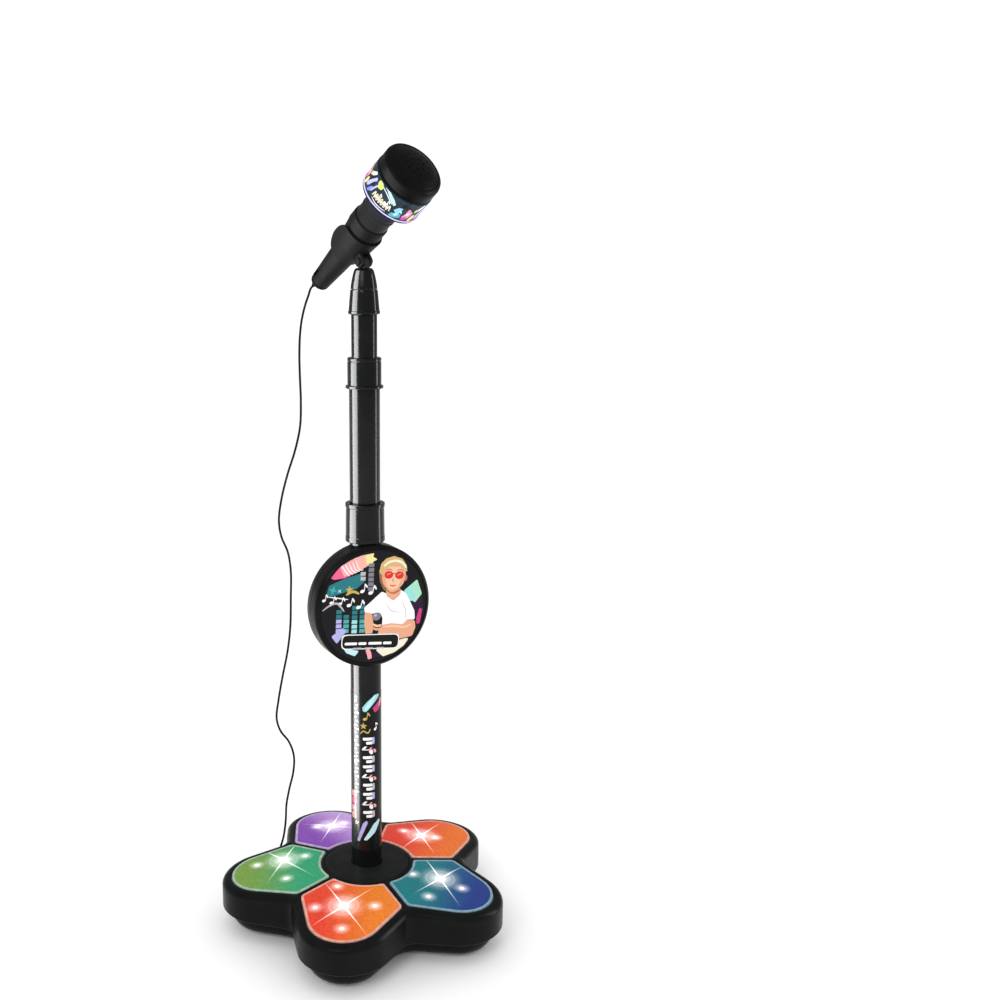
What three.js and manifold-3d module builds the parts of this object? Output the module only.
// Toy karaoke microphone on a telescoping stand with a five-lobed base of light-up foot pads.
// Millimetres, +Z up, the front of the object towards -Y, the floor at Z = 0.

import * as THREE from 'three';
import { mergeVertices } from 'three/addons/utils/BufferGeometryUtils.js';
import Module from 'manifold-3d';

const wasm = await Module();
wasm.setup();

const rad = THREE.MathUtils.degToRad;

// ---------------------------------------------------------------- driving dimensions

const GAP = 0.3; // clearance between pieces that rest on each other
const SEGMENTS = 20; // sides of a round piece
const SMALL = 10; // sides of a small round piece
const WIDE = 30; // sides of a wide disc

// Base: five lobes, each a round tip with straight flanks that meet the next lobe in a notch.
const LOBE_ANGLES = {
  front: -126,
  right: -54,
  back_right: 18,
  back_left: 90,
  left: 162,
};
const LOBE_PITCH = 72;
const TIP_CENTRE = 100;
const TIP_RADIUS = 45;
const NOTCH_REACH = 100;
const NOTCH_RADIUS = 14;
const FOOT_HEIGHT = 4;
const FOOT_RADIUS = 9;
const FOOT_REACH = 112;
const LIP_BOTTOM = 22; // lower edge of the overhanging top shell
const TRAY_TOP = 30;
const TRAY_FLOOR = 6.5;
const HUB_TOP = 58;
const HUB_RADIUS = 42.8;
const LOBE_SLOPE = 4.7; // degrees that each lobe's top falls towards its tip
const SHELL = 3; // wall of the base mouldings

// Light pads
const PAD_INSET = 9.5; // from the rim of the base
const PAD_RIB = 2.75; // half the rib between two pads
const PAD_HUB = 46.5; // radius of the pad's inner arc
const PAD_PROUD = 0.8;
const PAD_DEPTH = 5.3;
const PAD_CLEARANCE = 0.5;

// Pole
const LOWER_RADIUS = 15;
const LOWER_TOP = 400;
const SOCKET_FLOOR = 10;
const MID_RADIUS = 14.5;
const MID_TOP = 552.5;
const TOP_RADIUS = 12;
const TOP_FOOT = 462;
const TOP_END = 604;
const CONNECTOR_BOTTOM = 391;
const CONNECTOR_TOP = 428;
const COLLAR_BOTTOM = 536.5;
const COLLAR_TOP = 565;
const STICKER_BOTTOM = 78;
const STICKER_TOP = 241;

// Picture disc on the lower tube
const DISC_HEIGHT = 330.5;
const DISC_RADIUS = 59.6;
const DISC_FACE = -20.9; // Y of the bezel's front, the pole's axis at 0
const DISC_BACK = 3;

// Head: neck, clip and microphone, turned about the pole and tilted at the pivot
const HEAD_TURN = 16;
const MIC_ELEVATION = 36;
const NECK_BASE = 627;
const PIVOT_HEIGHT = 652;
const CLIP_OFFSET = 23; // from the pivot to the microphone's axis
const CLIP_HALF = 17; // half the clip's length
const TAIL_END = -66;
const RING_BOTTOM = 64.5; // of the light ring, measured along the microphone from the clip's middle
const RING_TOP = 87;
const RING_RADIUS = 29;
const HEAD_RADIUS = 28.3;
const HEAD_END = 106.5;
const CORD_RADIUS = 1.1;
const BOOT_OFFSET = -4.5; // the cord leaves the tail beside its axis
const BOOT_END = -70;

// Cord inlet in the tray's wall, in the notch between the left and the back left lobe
const INLET_ANGLE = 126;
const INLET_HEIGHT = 14;
const INLET_END = 99;

// The base box is centred on the origin, so the pole stands a little in front of it.
const LOBE_HALF = rad(LOBE_PITCH / 2);
const FRONT_REACH = TIP_CENTRE * Math.cos(LOBE_HALF) + TIP_RADIUS;
const POLE_Y = (FRONT_REACH - TIP_CENTRE - TIP_RADIUS) / 2;

// ---------------------------------------------------------------- geometry helpers

function toSolid(geometry) {
  const bare = geometry.clone();
  bare.deleteAttribute('normal');
  bare.deleteAttribute('uv');
  const merged = mergeVertices(bare, 1e-4);
  const vertProperties = merged.attributes.position.array;
  const index = merged.index.array;
  const corner = (i) => new THREE.Vector3().fromArray(vertProperties, 3 * i);
  const kept = [];
  let volume = 0;
  for (let t = 0; t < index.length; t += 3) {
    const [a, b, c] = [index[t], index[t + 1], index[t + 2]];
    if (a !== b && b !== c && c !== a) {
      kept.push([a, b, c]);
      volume += corner(a).dot(corner(b).cross(corner(c)));
    }
  }
  const outward = volume > 0 ? kept : kept.map(([a, b, c]) => [a, c, b]);
  const triVerts = Uint32Array.from(outward.flat());
  return new wasm.Manifold(new wasm.Mesh({ numProp: 3, vertProperties, triVerts }));
}

function toGeometry(solid) {
  const mesh = solid.getMesh();
  const geometry = new THREE.BufferGeometry();
  geometry.setAttribute('position', new THREE.BufferAttribute(mesh.vertProperties, 3));
  geometry.setIndex(new THREE.BufferAttribute(mesh.triVerts, 1));
  return geometry;
}

function combine(operation, first, others) {
  const result = others.reduce((solid, other) => solid[operation](toSolid(other)), toSolid(first));
  return toGeometry(result);
}

const join = (first, ...others) => combine('add', first, others);
const cut = (first, ...others) => combine('subtract', first, others);
const common = (first, ...others) => combine('intersect', first, others);

// A solid of revolution about Z from [radius, height] points.
function revolve(profile, segments = SEGMENTS) {
  const points = profile.map(([radius, height]) => new THREE.Vector2(radius, height));
  return new THREE.LatheGeometry(points, segments).rotateX(Math.PI / 2);
}

function cylinder(radius, bottom, top, segments = SEGMENTS) {
  return revolve([[0, bottom], [radius, bottom], [radius, top], [0, top]], segments);
}

function tube(outer, inner, bottom, top, segments = SEGMENTS) {
  const profile = [[inner, bottom], [outer, bottom], [outer, top], [inner, top], [inner, bottom]];
  return revolve(profile, segments);
}

// A box from its lowest to its highest corner.
function block(low, high) {
  const size = high.map((value, axis) => value - low[axis]);
  const middle = high.map((value, axis) => (value + low[axis]) / 2);
  return new THREE.BoxGeometry(...size).translate(...middle);
}

function prism(points, bottom, top) {
  const shape = new THREE.Shape(points.map(([x, y]) => new THREE.Vector2(x, y)));
  const depth = top - bottom;
  return new THREE.ExtrudeGeometry(shape, { depth, bevelEnabled: false }).translate(0, 0, bottom);
}

// A closed body through rings of equal length, capped at a point below and a point above.
function loft(rings, below, above) {
  const count = rings[0].length;
  const points = [below, ...rings.flat(), above];
  const last = points.length - 1;
  const triangles = [];
  for (let i = 0; i < count; i += 1) {
    const next = (i + 1) % count;
    triangles.push(0, 1 + next, 1 + i);
    for (let ring = 0; ring < rings.length - 1; ring += 1) {
      const low = 1 + ring * count;
      const high = low + count;
      triangles.push(low + i, low + next, high + next, low + i, high + next, high + i);
    }
    triangles.push(last, last - count + i, last - count + next);
  }
  const geometry = new THREE.BufferGeometry().setFromPoints(points);
  geometry.setIndex(triangles);
  return geometry;
}

function arc(centre, radius, from, to, steps) {
  return Array.from({ length: steps + 1 }, (_, i) => {
    const angle = from + ((to - from) * i) / steps;
    return [centre[0] + radius * Math.cos(angle), centre[1] + radius * Math.sin(angle)];
  });
}

// ---------------------------------------------------------------- the base's outline

const TIP_STEPS = 5;
const NOTCH_STEPS = 2;
const NOTCH_CENTRE = NOTCH_REACH + NOTCH_RADIUS;

// Direction of the flank's normal against the lobe's own direction: the flank is the line
// that touches the tip's circle on one side and the notch's circle on the other.
const FLANK_NORMAL = (() => {
  const dx = NOTCH_CENTRE * Math.cos(LOBE_HALF) - TIP_CENTRE;
  const dy = NOTCH_CENTRE * Math.sin(LOBE_HALF);
  return Math.atan2(dy, dx) - Math.acos((TIP_RADIUS + NOTCH_RADIUS) / Math.hypot(dx, dy));
})();

function starOutline(inset) {
  return Object.values(LOBE_ANGLES).flatMap((degrees) => {
    const angle = rad(degrees);
    const tip = [TIP_CENTRE * Math.cos(angle), TIP_CENTRE * Math.sin(angle)];
    const between = angle + LOBE_HALF;
    const notch = [NOTCH_CENTRE * Math.cos(between), NOTCH_CENTRE * Math.sin(between)];
    const start = angle - FLANK_NORMAL;
    const end = angle + FLANK_NORMAL;
    const nextStart = start + 2 * LOBE_HALF;
    return [
      ...arc(tip, TIP_RADIUS - inset, start, end, TIP_STEPS),
      ...arc(notch, -(NOTCH_RADIUS + inset), end, nextStart, NOTCH_STEPS),
    ];
  });
}

const FALL = Math.tan(rad(LOBE_SLOPE));

// Height of the sloping top at a point: each lobe is one plane that falls towards its tip.
function topLevel([x, y]) {
  const reaches = Object.values(LOBE_ANGLES).map((degrees) => {
    const angle = rad(degrees);
    return x * Math.cos(angle) + y * Math.sin(angle);
  });
  return HUB_TOP - FALL * (Math.max(...reaches) - HUB_RADIUS);
}

const flat = (height) => () => height;
const belowTop = (depth) => (point) => topLevel(point) - depth;
const centre = (height) => new THREE.Vector3(0, 0, height);
const apex = (depth) => centre(HUB_TOP + FALL * HUB_RADIUS - depth);

function starRing(inset, level) {
  return starOutline(inset).map((point) => new THREE.Vector3(...point, level(point)));
}

// ---------------------------------------------------------------- materials

const material = (color, roughness, metalness = 0) =>
  new THREE.MeshStandardMaterial({ color, roughness, metalness });

const looks = {
  gloss: material(0x1b1c1c, 0.25),
  matte: material(0x2b2c2c, 0.6),
  dark: material(0x101011, 0.5),
  rubber: material(0x141414, 0.9),
  board: material(0x1f5a33, 0.5),
  label: material(0x5b3a6e, 0.4),
  ring: material(0xb9c4ef, 0.2),
  steel: material(0xb8bcc0, 0.3, 1),
  foil: material(0xc9b037, 0.35),
};

const PAD_COLOURS = {
  front: 0xe0481f,
  right: 0x14688c,
  back_right: 0xe24a1c,
  back_left: 0x8a3fb0,
  left: 0x3f9a5b,
};

function piece(parent, name, geometry, look) {
  const mesh = new THREE.Mesh(toGeometry(toSolid(geometry)), look);
  mesh.name = name;
  parent.add(mesh);
}

// ---------------------------------------------------------------- base mouldings

// A pad's outline in the lobe's own frame, X along the lobe.
function padOutline(grow) {
  const ribOffset = PAD_RIB - grow;
  const tipRadius = TIP_RADIUS - PAD_INSET + grow;
  const innerRadius = PAD_HUB - grow;
  const halfSpan = LOBE_HALF - Math.asin(ribOffset / innerRadius);
  // The shoulder is where the flank's line meets the line along the rib.
  const flankReach = TIP_CENTRE * Math.cos(FLANK_NORMAL) + tipRadius;
  const spread = Math.sin(FLANK_NORMAL - LOBE_HALF + Math.PI / 2);
  const shoulderX = (flankReach * Math.cos(LOBE_HALF) + ribOffset * Math.sin(FLANK_NORMAL)) / spread;
  const shoulderY = (flankReach * Math.sin(LOBE_HALF) - ribOffset * Math.cos(FLANK_NORMAL)) / spread;
  return [
    [shoulderX, -shoulderY],
    ...arc([TIP_CENTRE, 0], tipRadius, -FLANK_NORMAL, FLANK_NORMAL, TIP_STEPS),
    [shoulderX, shoulderY],
    ...arc([0, 0], innerRadius, halfSpan, -halfSpan, 4),
  ];
}

// Tilts a piece that was made level at height 0 into the plane of the lobe's top.
function ontoSlope(geometry) {
  return geometry
    .translate(-HUB_RADIUS, 0, 0)
    .rotateY(rad(LOBE_SLOPE))
    .translate(HUB_RADIUS, 0, HUB_TOP);
}

function inletAxis(geometry) {
  return geometry
    .rotateY(Math.PI / 2)
    .rotateZ(rad(INLET_ANGLE))
    .translate(0, 0, INLET_HEIGHT);
}

function baseTopShell() {
  const outer = loft(
    [
      starRing(0, flat(LIP_BOTTOM)),
      starRing(0, belowTop(6)),
      starRing(2.2, belowTop(1.8)),
      starRing(7, belowTop(0)),
    ],
    centre(LIP_BOTTOM),
    apex(0),
  );
  const ledgeTop = LIP_BOTTOM + 2.5;
  const cavity = loft(
    [
      starRing(7.7, flat(LIP_BOTTOM - 1)),
      starRing(7.7, flat(ledgeTop)),
      starRing(SHELL, flat(ledgeTop)),
      starRing(SHELL, belowTop(7)),
      starRing(6.5, belowTop(SHELL)),
    ],
    centre(LIP_BOTTOM - 1),
    apex(SHELL),
  );
  const windows = Object.values(LOBE_ANGLES).map((degrees) =>
    ontoSlope(prism(padOutline(PAD_CLEARANCE), -10, 5)).rotateZ(rad(degrees)));
  return cut(outer, cavity, cylinder(HUB_RADIUS, 40, 70, WIDE), ...windows);
}

// Frame of the battery bay, the lobe's X along the bay
const BAY = { x: 79.5, halfX: 24.2, halfY: 27, wall: 1.4, top: 24 };
const DOOR_TAB = { end: 48.5, halfY: 5, screwX: 52 };
const SPEAKER_X = 86;

function trayFloorCuts() {
  const bay = block(
    [BAY.x - BAY.halfX + 2, -BAY.halfY + 2, 0],
    [BAY.x + BAY.halfX - 2, BAY.halfY - 2, 10],
  );
  const tab = block([DOOR_TAB.end, -DOOR_TAB.halfY, 0], [BAY.x, DOOR_TAB.halfY, 5.4]);
  const screw = cylinder(1.6, 0, 10, SMALL).translate(DOOR_TAB.screwX, 0, 0);
  const bayCuts = [bay, tab, screw].map((tool) => tool.rotateZ(rad(LOBE_ANGLES.right)));
  const slots = [-2, -1, 0, 1, 2].map((row) => {
    const half = row % 2 === 0 ? 17 : 20;
    const slot = block([SPEAKER_X - half, 7 * row - 1.5, 0], [SPEAKER_X + half, 7 * row + 1.5, 10]);
    return slot.rotateZ(rad(LOBE_ANGLES.front));
  });
  return [...bayCuts, ...slots];
}

function baseTray() {
  const outer = loft(
    [
      starRing(20, flat(FOOT_HEIGHT)),
      starRing(13, flat(6.5)),
      starRing(9.2, flat(14)),
      starRing(8.2, flat(TRAY_TOP)),
    ],
    centre(FOOT_HEIGHT),
    centre(TRAY_TOP),
  );
  const inner = loft(
    [
      starRing(16.5, flat(TRAY_FLOOR)),
      starRing(12, flat(14)),
      starRing(10.8, flat(TRAY_TOP + 1)),
    ],
    centre(TRAY_FLOOR),
    centre(TRAY_TOP + 1),
  );
  const gland = inletAxis(cylinder(4, 60, 130, SMALL));
  return cut(outer, inner, gland, ...trayFloorCuts());
}

function cordInlet() {
  return inletAxis(revolve(
    [[0, 82], [5.5, 82], [5.5, 84.5], [3.6, 84.5], [3.6, 93], [1.9, INLET_END], [0, INLET_END]],
    SMALL,
  ));
}

function hubCover() {
  return revolve(
    [
      [LOWER_RADIUS + 0.4, 56.5],
      [40, 56.5],
      [40, 49.3],
      [42.4, 49.3],
      [42.4, HUB_TOP + 1],
      [LOWER_RADIUS + 0.4, HUB_TOP + 2],
      [LOWER_RADIUS + 0.4, 56.5],
    ],
    WIDE,
  );
}

function poleSocket() {
  const bore = LOWER_RADIUS + 0.4;
  return revolve([
    [0, TRAY_FLOOR + GAP],
    [24, TRAY_FLOOR + GAP],
    [24, SOCKET_FLOOR - 0.5],
    [18.4, SOCKET_FLOOR - 0.5],
    [18.4, 46],
    [38, 46],
    [38, 49],
    [bore, 49],
    [bore, SOCKET_FLOOR],
    [0, SOCKET_FLOOR],
  ]);
}

function foot() {
  return revolve(
    [[0, 0], [FOOT_RADIUS - 1, 0], [FOOT_RADIUS, 1], [FOOT_RADIUS, FOOT_HEIGHT - GAP], [0, FOOT_HEIGHT - GAP]],
    16,
  );
}

// ---------------------------------------------------------------- light pads and electronics

function lightPad() {
  const body = prism(padOutline(0), -PAD_DEPTH, PAD_PROUD);
  const flange = prism(padOutline(1.8), -PAD_DEPTH, -SHELL - GAP);
  const hollow = prism(padOutline(-2), -PAD_DEPTH - 1, PAD_PROUD - 2.5);
  return ontoSlope(cut(join(body, flange), hollow));
}

function ledBoard() {
  const board = prism(padOutline(-4), -11.5, -9.9);
  const leds = [[66, 0], [88, -20], [88, 20], [112, 0], [88, 0]].map(([x, y]) =>
    cylinder(2.5, -10, -8.7, 6).translate(x, y, 0));
  const legs = [[52, -12], [52, 12], [118, 0]].map(([x, y]) =>
    cylinder(2.5, TRAY_FLOOR + GAP, topLevelAlong(x) - 10.5, 6).translate(x, y, 0));
  return join(ontoSlope(join(board, ...leds)), ...legs);
}

// Height of a lobe's plane at a distance along the lobe.
function topLevelAlong(x) {
  return HUB_TOP - FALL * (x - HUB_RADIUS);
}

function batteryBox() {
  const low = TRAY_FLOOR + GAP;
  const outer = block([BAY.x - BAY.halfX, -BAY.halfY, low], [BAY.x + BAY.halfX, BAY.halfY, BAY.top]);
  const inner = block(
    [BAY.x - BAY.halfX + BAY.wall, -BAY.halfY + BAY.wall, low - 1],
    [BAY.x + BAY.halfX - BAY.wall, BAY.halfY - BAY.wall, BAY.top - BAY.wall],
  );
  return cut(outer, inner);
}

function batteryCell(row) {
  const can = revolve([[0, -25], [7.1, -25], [7.1, 24], [2.7, 24], [2.7, 25.2], [0, 25.2]], SMALL);
  return can.rotateX(row % 2 === 0 ? Math.PI / 2 : -Math.PI / 2).translate(BAY.x + 15 * row, 0, 14.4);
}

function batteryDoor() {
  const plate = block(
    [BAY.x - BAY.halfX + 2 + GAP, -BAY.halfY + 2 + GAP, 4.2],
    [BAY.x + BAY.halfX - 2 - GAP, BAY.halfY - 2 - GAP, 6.4],
  );
  const tab = block(
    [DOOR_TAB.end + GAP, -DOOR_TAB.halfY + GAP, 4.2],
    [BAY.x, DOOR_TAB.halfY - GAP, 5.1],
  );
  return cut(join(plate, tab), cylinder(1.6, 0, 10, SMALL).translate(DOOR_TAB.screwX, 0, 0));
}

function doorScrew() {
  return revolve([[0, 2.7], [2.7, 2.7], [2.7, 3.9], [1.3, 3.9], [1.3, 11], [0, 12.5]], SMALL)
    .translate(DOOR_TAB.screwX, 0, 0);
}

function speaker() {
  const bottom = TRAY_FLOOR + GAP;
  return revolve(
    [[0, bottom], [27, bottom], [27, 9], [24, 9], [13, 17], [15, 17], [15, 24], [0, 24]],
  ).translate(SPEAKER_X, 0, 0);
}

function mainBoard() {
  const board = block([60, -21, 12], [112, 21, 13.6]);
  const chips = [
    block([78, -8, 13.5], [92, 6, 15.5]),
    block([66, 8, 13.5], [74, 17, 21]),
    block([98, -16, 13.5], [106, -4, 18]),
  ];
  const posts = [[64, -17], [64, 17], [108, 0]].map(([x, y]) =>
    cylinder(2.2, TRAY_FLOOR + GAP, 12.5, 8).translate(x, y, 0));
  return join(board, ...chips, ...posts);
}

// ---------------------------------------------------------------- pole

function tubeConnector() {
  const lowerBore = LOWER_RADIUS + GAP;
  const upperBore = MID_RADIUS + GAP;
  return revolve([
    [lowerBore, CONNECTOR_BOTTOM],
    [19, CONNECTOR_BOTTOM],
    [18.3, CONNECTOR_TOP - 4],
    [18.9, CONNECTOR_TOP - 3.4],
    [18.9, CONNECTOR_TOP],
    [upperBore, CONNECTOR_TOP],
    [upperBore, LOWER_TOP + 1.2],
    [13, LOWER_TOP + 1.2],
    [13, LOWER_TOP + GAP],
    [lowerBore, LOWER_TOP + GAP],
    [lowerBore, CONNECTOR_BOTTOM],
  ]);
}

function lockingCollar() {
  const lowerBore = MID_RADIUS + GAP;
  const upperBore = TOP_RADIUS + 0.4;
  return revolve([
    [lowerBore, COLLAR_BOTTOM],
    [17.7, COLLAR_BOTTOM],
    [17.7, COLLAR_BOTTOM + 2],
    [15.9, COLLAR_BOTTOM + 2.6],
    [15.9, COLLAR_TOP - 1.2],
    [15, COLLAR_TOP],
    [upperBore, COLLAR_TOP],
    [upperBore, MID_TOP + GAP],
    [lowerBore, MID_TOP + GAP],
    [lowerBore, COLLAR_BOTTOM],
  ]);
}

// ---------------------------------------------------------------- picture disc

const DISC_WALL = 2.5;
const DISC_SPLIT = -6.8;
const PLATE_FRONT = DISC_FACE + 0.9;
const CHANNEL = LOWER_RADIUS + GAP;
const TROUGH_HALF = 54;
const CLAMP_HALF = 12;
const CLAMP_SCREW_X = 23;

// Stands a piece made along Z so that its Z runs towards +Y, at the disc's height.
function faceForward(geometry) {
  return geometry.rotateX(-Math.PI / 2).translate(0, 0, DISC_HEIGHT);
}

function poleChannel() {
  return join(
    cylinder(CHANNEL, DISC_HEIGHT - 70, DISC_HEIGHT + 70),
    block([-CHANNEL, 0, DISC_HEIGHT - 70], [CHANNEL, 30, DISC_HEIGHT + 70]),
  );
}

function discFrontShell() {
  const inner = DISC_RADIUS - DISC_WALL;
  const cup = faceForward(revolve([
    [0, PLATE_FRONT],
    [55, PLATE_FRONT],
    [55, DISC_FACE],
    [56.6, DISC_FACE],
    [DISC_RADIUS, DISC_FACE + 3],
    [DISC_RADIUS, DISC_SPLIT],
    [inner, DISC_SPLIT],
    [inner, PLATE_FRONT + 1.9],
    [0, PLATE_FRONT + 1.9],
  ], WIDE));
  return cut(cup, poleChannel());
}

function discBackShell() {
  const inner = DISC_RADIUS - DISC_WALL;
  const cup = faceForward(revolve([
    [0, DISC_BACK - 2.3],
    [inner, DISC_BACK - 2.3],
    [inner, DISC_SPLIT + GAP],
    [DISC_RADIUS, DISC_SPLIT + GAP],
    [DISC_RADIUS, DISC_BACK - 1.5],
    [DISC_RADIUS - 1.5, DISC_BACK],
    [0, DISC_BACK],
  ], WIDE));
  const trough = common(
    cylinder(CHANNEL + 1.6, DISC_HEIGHT - TROUGH_HALF, DISC_HEIGHT + TROUGH_HALF),
    block([-30, -30, 0], [30, DISC_BACK - 1, 600]),
  );
  const holes = [-1, 1].map((side) => clampHole(side));
  return cut(join(cup, trough), poleChannel(), ...holes);
}

function clampHole(side) {
  return faceForward(cylinder(1.8, -2, 20, SMALL)).translate(side * CLAMP_SCREW_X, 0, 0);
}

function discClamp() {
  const outer = CHANNEL + 2.6;
  const band = common(
    tube(outer, CHANNEL + 0.1, DISC_HEIGHT - CLAMP_HALF, DISC_HEIGHT + CLAMP_HALF),
    block([-30, DISC_BACK + GAP, 0], [30, 30, 600]),
  );
  const ears = [-1, 1].map((side) => {
    const inside = side * (outer - 1);
    const outside = side * 29;
    return block(
      [Math.min(inside, outside), DISC_BACK + GAP, DISC_HEIGHT - CLAMP_HALF],
      [Math.max(inside, outside), DISC_BACK + 2.8, DISC_HEIGHT + CLAMP_HALF],
    );
  });
  return cut(join(band, ...ears), clampHole(-1), clampHole(1));
}

function discScrew(side) {
  const head = DISC_BACK + 3.1;
  return faceForward(revolve(
    [[0, -5], [1.4, -4], [1.4, head], [3.2, head], [3.2, head + 1.2], [2, head + 2], [0, head + 2]],
    SMALL,
  )).translate(side * CLAMP_SCREW_X, 0, 0);
}

// ---------------------------------------------------------------- neck and clip

const BLADE_HALF = 3; // half the tongue's thickness
const BLADE_ROUND = 4.8;
const CHEEK = 3;

function pivotAxis(geometry) {
  return geometry.rotateY(Math.PI / 2);
}

function neckBarrel() {
  return revolve([
    [0, TOP_END - 14],
    [9.7, TOP_END - 14],
    [9.7, TOP_END + GAP],
    [14.8, TOP_END + GAP],
    [14.8, TOP_END + 3],
    [12.9, NECK_BASE - 3],
    [12.5, NECK_BASE - GAP],
    [0, NECK_BASE - GAP],
  ]);
}

function neckCone() {
  const cone = revolve([
    [0, NECK_BASE],
    [12.3, NECK_BASE],
    [12, NECK_BASE + 4],
    [11, NECK_BASE + 9],
    [9.6, NECK_BASE + 13.5],
    [8.4, NECK_BASE + 16.5],
    [5.5, NECK_BASE + 17.5],
    [0, NECK_BASE + 17.5],
  ]);
  const stem = block(
    [-BLADE_HALF, -BLADE_ROUND, NECK_BASE + 15],
    [BLADE_HALF, BLADE_ROUND, PIVOT_HEIGHT],
  );
  const eye = pivotAxis(cylinder(BLADE_ROUND, -BLADE_HALF, BLADE_HALF, SMALL)).translate(0, 0, PIVOT_HEIGHT);
  const hole = pivotAxis(cylinder(1.9, -10, 10, SMALL)).translate(0, 0, PIVOT_HEIGHT);
  return cut(join(cone, stem, eye), hole);
}

function pivotPin() {
  return pivotAxis(revolve(
    [[0, -8], [2.6, -8], [2.6, -6.8], [1.6, -6.8], [1.6, 6.8], [2.6, 6.8], [2.6, 8], [0, 8]],
    SMALL,
  )).translate(0, 0, PIVOT_HEIGHT);
}

// The clip's wall, inner and outer radius, at its rear, middle and front
const CLIP_WALL = { rear: [13.3, 14.8], middle: [15.3, 18.2], front: [17.6, 19.7] };
const EAR_HEIGHT = 11; // of the clip's arms above the microphone's axis

// A tapered body about the microphone's axis, carried straight up from the axis by `rise`.
function cradleBody(side, rise, half) {
  const [rear, middle, front] = ['rear', 'middle', 'front'].map((key) => CLIP_WALL[key][side]);
  const cone = revolve([[0, -half], [rear, -half], [middle, 0], [front, half], [0, half]]);
  const plan = [[-rear, -half], [rear, -half], [middle, 0], [front, half], [-front, half], [-middle, 0]];
  return join(cone, prism(plan, -rise, 0).rotateX(Math.PI / 2));
}

function micClip() {
  const ears = arc([0, 0], 1, 0, Math.PI, 12).map(([x, y]) => [CLIP_HALF * x, EAR_HEIGHT * y]);
  const side = prism([[-CLIP_HALF, -30], [CLIP_HALF, -30], ...ears], -40, 40).rotateY(Math.PI / 2);
  const sleeve = common(cradleBody(1, EAR_HEIGHT + 1, CLIP_HALF), side);
  const cheeks = [-1, 1].map((sign) => {
    const middle = sign * (BLADE_HALF + GAP + CHEEK / 2);
    const eye = pivotAxis(cylinder(5.6, -CHEEK / 2, CHEEK / 2, SMALL)).translate(middle, -CLIP_OFFSET, 0);
    const web = block(
      [middle - CHEEK / 2, -CLIP_OFFSET, -5.6],
      [middle + CHEEK / 2, -12, 5.6],
    );
    return join(eye, web);
  });
  const pin = pivotAxis(cylinder(1.9, -10, 10, SMALL)).translate(0, -CLIP_OFFSET, 0);
  return cut(join(sleeve, ...cheeks), cradleBody(0, 40, CLIP_HALF + 1), pin);
}

// ---------------------------------------------------------------- microphone, Z along its axis

const HANDLE_FRONT = 31;
const SLEEVE_END = RING_BOTTOM - 3.3;
const SWITCH_ANGLE = 160; // about the axis, 0 towards +X and 90 straight up
const SWITCH_PLACE = -54;
const SWITCH_TRAVEL = 3;

function atSwitch(geometry) {
  return geometry.rotateZ(rad(SWITCH_ANGLE));
}

function micHandle() {
  const shell = revolve([
    [9.5, -62],
    [12.7, -17],
    [14.7, 0],
    [17, 17],
    [17.6, 19.5],
    [17.6, HANDLE_FRONT - 1],
    [17, HANDLE_FRONT],
    [15.4, HANDLE_FRONT],
    [15.4, 19],
    [12.9, 0],
    [10.9, -17],
    [7.7, -62],
    [9.5, -62],
  ]);
  const slot = block([6, -1.9, SWITCH_PLACE - 3.6], [14, 1.9, SWITCH_PLACE + SWITCH_TRAVEL + 2.3]);
  return cut(shell, atSwitch(slot));
}

function micSwitch() {
  return atSwitch(join(
    block([7, -1.6, SWITCH_PLACE - 3.3], [10.6, 1.6, SWITCH_PLACE + 2]),
    block([10.5, -1.2, SWITCH_PLACE - 2.6], [11.2, 1.2, SWITCH_PLACE + 1.3]),
  ));
}

function micEndCap() {
  const cap = revolve([[0, TAIL_END], [7, TAIL_END], [8.6, -65.2], [9.4, -63.6], [9.4, -62.3], [0, -62.3]]);
  return cut(cap, cylinder(1.9, -80, -50, SMALL).translate(BOOT_OFFSET, 0, 0));
}

function micCordBoot() {
  return revolve(
    [[0, BOOT_END], [1.8, BOOT_END], [2.5, TAIL_END - GAP], [1.6, TAIL_END - GAP], [1.6, -60], [0, -60]],
    SMALL,
  ).translate(BOOT_OFFSET, 0, 0);
}

function micBoard() {
  return join(block([-5, -2, -59], [5, -0.4, -4]), block([-3.5, -0.6, -24], [3.5, 1.4, -14]));
}

function neckSleeve() {
  const ribs = [0, 1, 2, 3].flatMap((rib) => {
    const start = 41 + 4.6 * rib;
    return [[16, start], [16.9, start + 2.3]];
  });
  return revolve([
    [14.4, HANDLE_FRONT + GAP],
    [16.4, HANDLE_FRONT + GAP],
    ...ribs,
    [16, 59.4],
    [16.4, SLEEVE_END],
    [14.4, SLEEVE_END],
    [14.4, HANDLE_FRONT + GAP],
  ]);
}

function ringRim() {
  return revolve([
    [12, SLEEVE_END + GAP],
    [27.6, SLEEVE_END + GAP],
    [RING_RADIUS, SLEEVE_END + 1.4],
    [RING_RADIUS, RING_BOTTOM - GAP],
    [12, RING_BOTTOM - GAP],
    [12, SLEEVE_END + GAP],
  ]);
}

function ringLedBoard() {
  const board = tube(25.6, 12.1, RING_BOTTOM + 6, RING_BOTTOM + 7.6);
  const around = (count, make) => Array.from({ length: count }, (_, i) =>
    make().translate(19, 0, 0).rotateZ((2 * Math.PI * i) / count));
  const leds = around(6, () => cylinder(2.5, RING_BOTTOM + 7, RING_BOTTOM + 9.2, 6));
  const posts = around(3, () => cylinder(2, RING_BOTTOM, RING_BOTTOM + 6.5, 6));
  return join(board, ...leds, ...posts);
}

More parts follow.
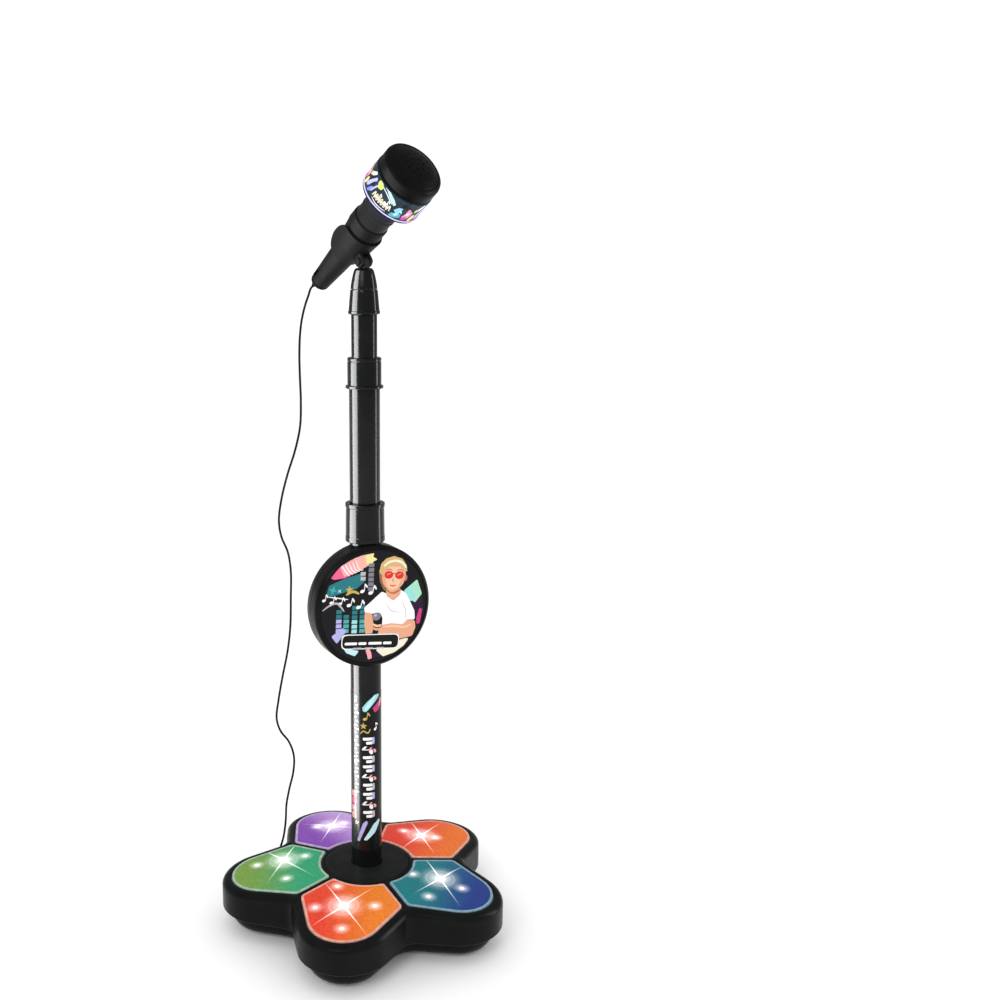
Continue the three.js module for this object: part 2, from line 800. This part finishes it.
function headCollar() {
  return revolve([
    [3, RING_TOP],
    [RING_RADIUS - 1.6, RING_TOP],
    [HEAD_RADIUS, RING_TOP + 0.7],
    [HEAD_RADIUS, RING_TOP + 2.6],
    [3, RING_TOP + 2.6],
    [3, RING_TOP],
  ]);
}

function headCap() {
  const wall = 1.9;
  const bottom = RING_TOP + 2.9;
  const rim = HEAD_END - 6.5;
  return revolve([
    [HEAD_RADIUS - wall, bottom],
    [HEAD_RADIUS, bottom],
    [HEAD_RADIUS, rim - 2],
    [HEAD_RADIUS - 0.7, rim],
    [HEAD_RADIUS - 2.6, rim + 1.5],
    [HEAD_RADIUS - 4.2, rim + 2],
    [17, rim + 4.5],
    [8.5, rim + 6],
    [0, HEAD_END],
    [0, HEAD_END - wall],
    [8.5, rim + 6 - wall],
    [17, rim + 4.5 - wall],
    [HEAD_RADIUS - 4.4, rim + 2 - wall],
    [HEAD_RADIUS - wall, rim - 2],
    [HEAD_RADIUS - wall, bottom],
  ]);
}

// ---------------------------------------------------------------- cord

// From the boot on the microphone's tail down to the inlet, about the pole's axis.
const CORD_ROUTE = [
  [-23.7, 66.4, 629.3],
  [-24.7, 69.7, 626.8],
  [-25.4, 74.4, 620],
  [-27.7, 78.1, 610],
  [-29.9, 81.3, 597],
  [-31.2, 83.5, 582],
  [-31.7, 84.8, 562],
  [-31.3, 85.2, 540],
  [-31, 84.5, 516],
  [-32.6, 83.6, 492],
  [-38.4, 83.4, 468.5],
  [-46.4, 84.3, 445],
  [-52.5, 85.9, 421],
  [-55.2, 87.7, 398],
  [-52.6, 88.2, 381],
  [-46.3, 88.1, 365],
  [-43.1, 88.8, 345],
  [-43.1, 90, 316],
  [-44.3, 89.9, 285],
  [-48.1, 89.4, 259],
  [-53.8, 89.3, 234],
  [-58.9, 89.3, 208.5],
  [-61.1, 89.8, 189],
  [-57.4, 89.2, 175],
  [-48.9, 87.6, 162],
  [-44.1, 86.6, 146],
  [-45.1, 86.5, 128],
  [-49.7, 86.3, 111],
  [-53.6, 85.9, 93],
  [-55.1, 84.9, 76],
  [-58.1, 84.6, 58],
  [-62.4, 85.9, 42],
  [-62.6, 86.2, 27],
  [-61.9, 85.2, 19.5],
  [-60.6, 83.4, 15.2],
  [-58.5, 80.5, 14],
];
const CORD_SIDES = 8;
const CORD_STEPS = 72;

function cordSolid() {
  const route = new THREE.CatmullRomCurve3(CORD_ROUTE.map((point) => new THREE.Vector3(...point)));
  const section = arc([0, 0], CORD_RADIUS, 0, 2 * Math.PI, CORD_SIDES).slice(0, CORD_SIDES);
  const shape = new THREE.Shape(section.map(([x, y]) => new THREE.Vector2(x, y)));
  return new THREE.ExtrudeGeometry(shape, { steps: CORD_STEPS, extrudePath: route });
}

// ---------------------------------------------------------------- assembly

const stand = new THREE.Group();
stand.position.y = POLE_Y;

piece(stand, 'base_top_shell', baseTopShell(), looks.gloss);
piece(stand, 'base_tray', baseTray(), looks.gloss);
piece(stand, 'hub_cover', hubCover(), looks.matte);
piece(stand, 'pole_socket', poleSocket(), looks.dark);
piece(stand, 'cord_inlet', cordInlet(), looks.rubber);

const lobes = {};
for (const [name, degrees] of Object.entries(LOBE_ANGLES)) {
  const lobe = new THREE.Group();
  lobe.rotation.z = rad(degrees);
  stand.add(lobe);
  piece(lobe, `foot_${name}`, foot().translate(FOOT_REACH, 0, 0), looks.rubber);
  piece(lobe, `led_board_${name}`, ledBoard(), looks.board);
  piece(lobe, `light_pad_${name}`, lightPad(), material(PAD_COLOURS[name], 0.3));
  lobes[name] = lobe;
}

piece(lobes.right, 'battery_box', batteryBox(), looks.dark);
for (const row of [-1, 0, 1]) {
  piece(lobes.right, `battery_cell_${row + 2}`, batteryCell(row), looks.foil);
}
piece(lobes.right, 'battery_door', batteryDoor(), looks.gloss);
piece(lobes.right, 'battery_door_screw', doorScrew(), looks.steel);
piece(lobes.front, 'speaker', speaker(), looks.dark);
piece(lobes.back_left, 'main_board', mainBoard(), looks.board);

piece(stand, 'lower_tube', tube(LOWER_RADIUS, LOWER_RADIUS - 2, SOCKET_FLOOR + GAP, LOWER_TOP), looks.gloss);
piece(
  stand,
  'tube_sticker',
  tube(LOWER_RADIUS + 0.35, LOWER_RADIUS + 0.15, STICKER_BOTTOM, STICKER_TOP),
  looks.label,
);
piece(stand, 'tube_connector', tubeConnector(), looks.gloss);
piece(stand, 'mid_tube', tube(MID_RADIUS, MID_RADIUS - 1.8, LOWER_TOP + 1.5, MID_TOP), looks.gloss);
piece(stand, 'locking_collar', lockingCollar(), looks.gloss);

piece(stand, 'disc_front_shell', discFrontShell(), looks.gloss);
piece(stand, 'disc_back_shell', discBackShell(), looks.gloss);
piece(
  stand,
  'disc_label',
  faceForward(cylinder(54.6, DISC_FACE + 0.2, PLATE_FRONT - 0.2, WIDE)),
  looks.label,
);
piece(stand, 'disc_clamp', discClamp(), looks.gloss);
piece(stand, 'disc_screw_left', discScrew(-1), looks.steel);
piece(stand, 'disc_screw_right', discScrew(1), looks.steel);

const head = new THREE.Group();
head.rotation.z = rad(HEAD_TURN);
stand.add(head);
piece(head, 'top_tube', tube(TOP_RADIUS, TOP_RADIUS - 2, TOP_FOOT, TOP_END), looks.gloss);
piece(head, 'tube_bush', tube(MID_RADIUS - 2.1, 9, TOP_FOOT - 8, TOP_FOOT - GAP), looks.matte);
piece(head, 'neck_barrel', neckBarrel(), looks.gloss);
piece(head, 'neck_cone', neckCone(), looks.gloss);
piece(head, 'pivot_pin', pivotPin(), looks.steel);

const tilted = new THREE.Group();
tilted.position.z = PIVOT_HEIGHT;
tilted.rotation.x = rad(90 - MIC_ELEVATION);
head.add(tilted);
const microphone = new THREE.Group();
microphone.position.y = CLIP_OFFSET;
tilted.add(microphone);
piece(microphone, 'mic_clip', micClip(), looks.matte);
piece(microphone, 'mic_handle', micHandle(), looks.matte);
piece(microphone, 'mic_end_cap', micEndCap(), looks.matte);
piece(microphone, 'mic_cord_boot', micCordBoot(), looks.rubber);
piece(microphone, 'mic_switch', micSwitch(), looks.dark);
piece(microphone, 'mic_board', micBoard(), looks.board);
piece(microphone, 'neck_sleeve', neckSleeve(), looks.matte);
piece(microphone, 'ring_rim', ringRim(), looks.gloss);
piece(microphone, 'head_core', tube(11.7, 10, SLEEVE_END + 0.6, RING_TOP - GAP), looks.dark);
piece(microphone, 'light_ring', tube(RING_RADIUS - 0.2, RING_RADIUS - 2.4, RING_BOTTOM, RING_TOP - GAP), looks.ring);
piece(microphone, 'ring_led_board', ringLedBoard(), looks.board);
piece(microphone, 'head_collar', headCollar(), looks.dark);
piece(microphone, 'head_cap', headCap(), looks.dark);
piece(microphone, 'mic_capsule', cylinder(5, RING_TOP + 2.9, RING_TOP + 9, SMALL), looks.steel);

piece(stand, 'mic_cord', cordSolid(), looks.rubber);

export default stand;
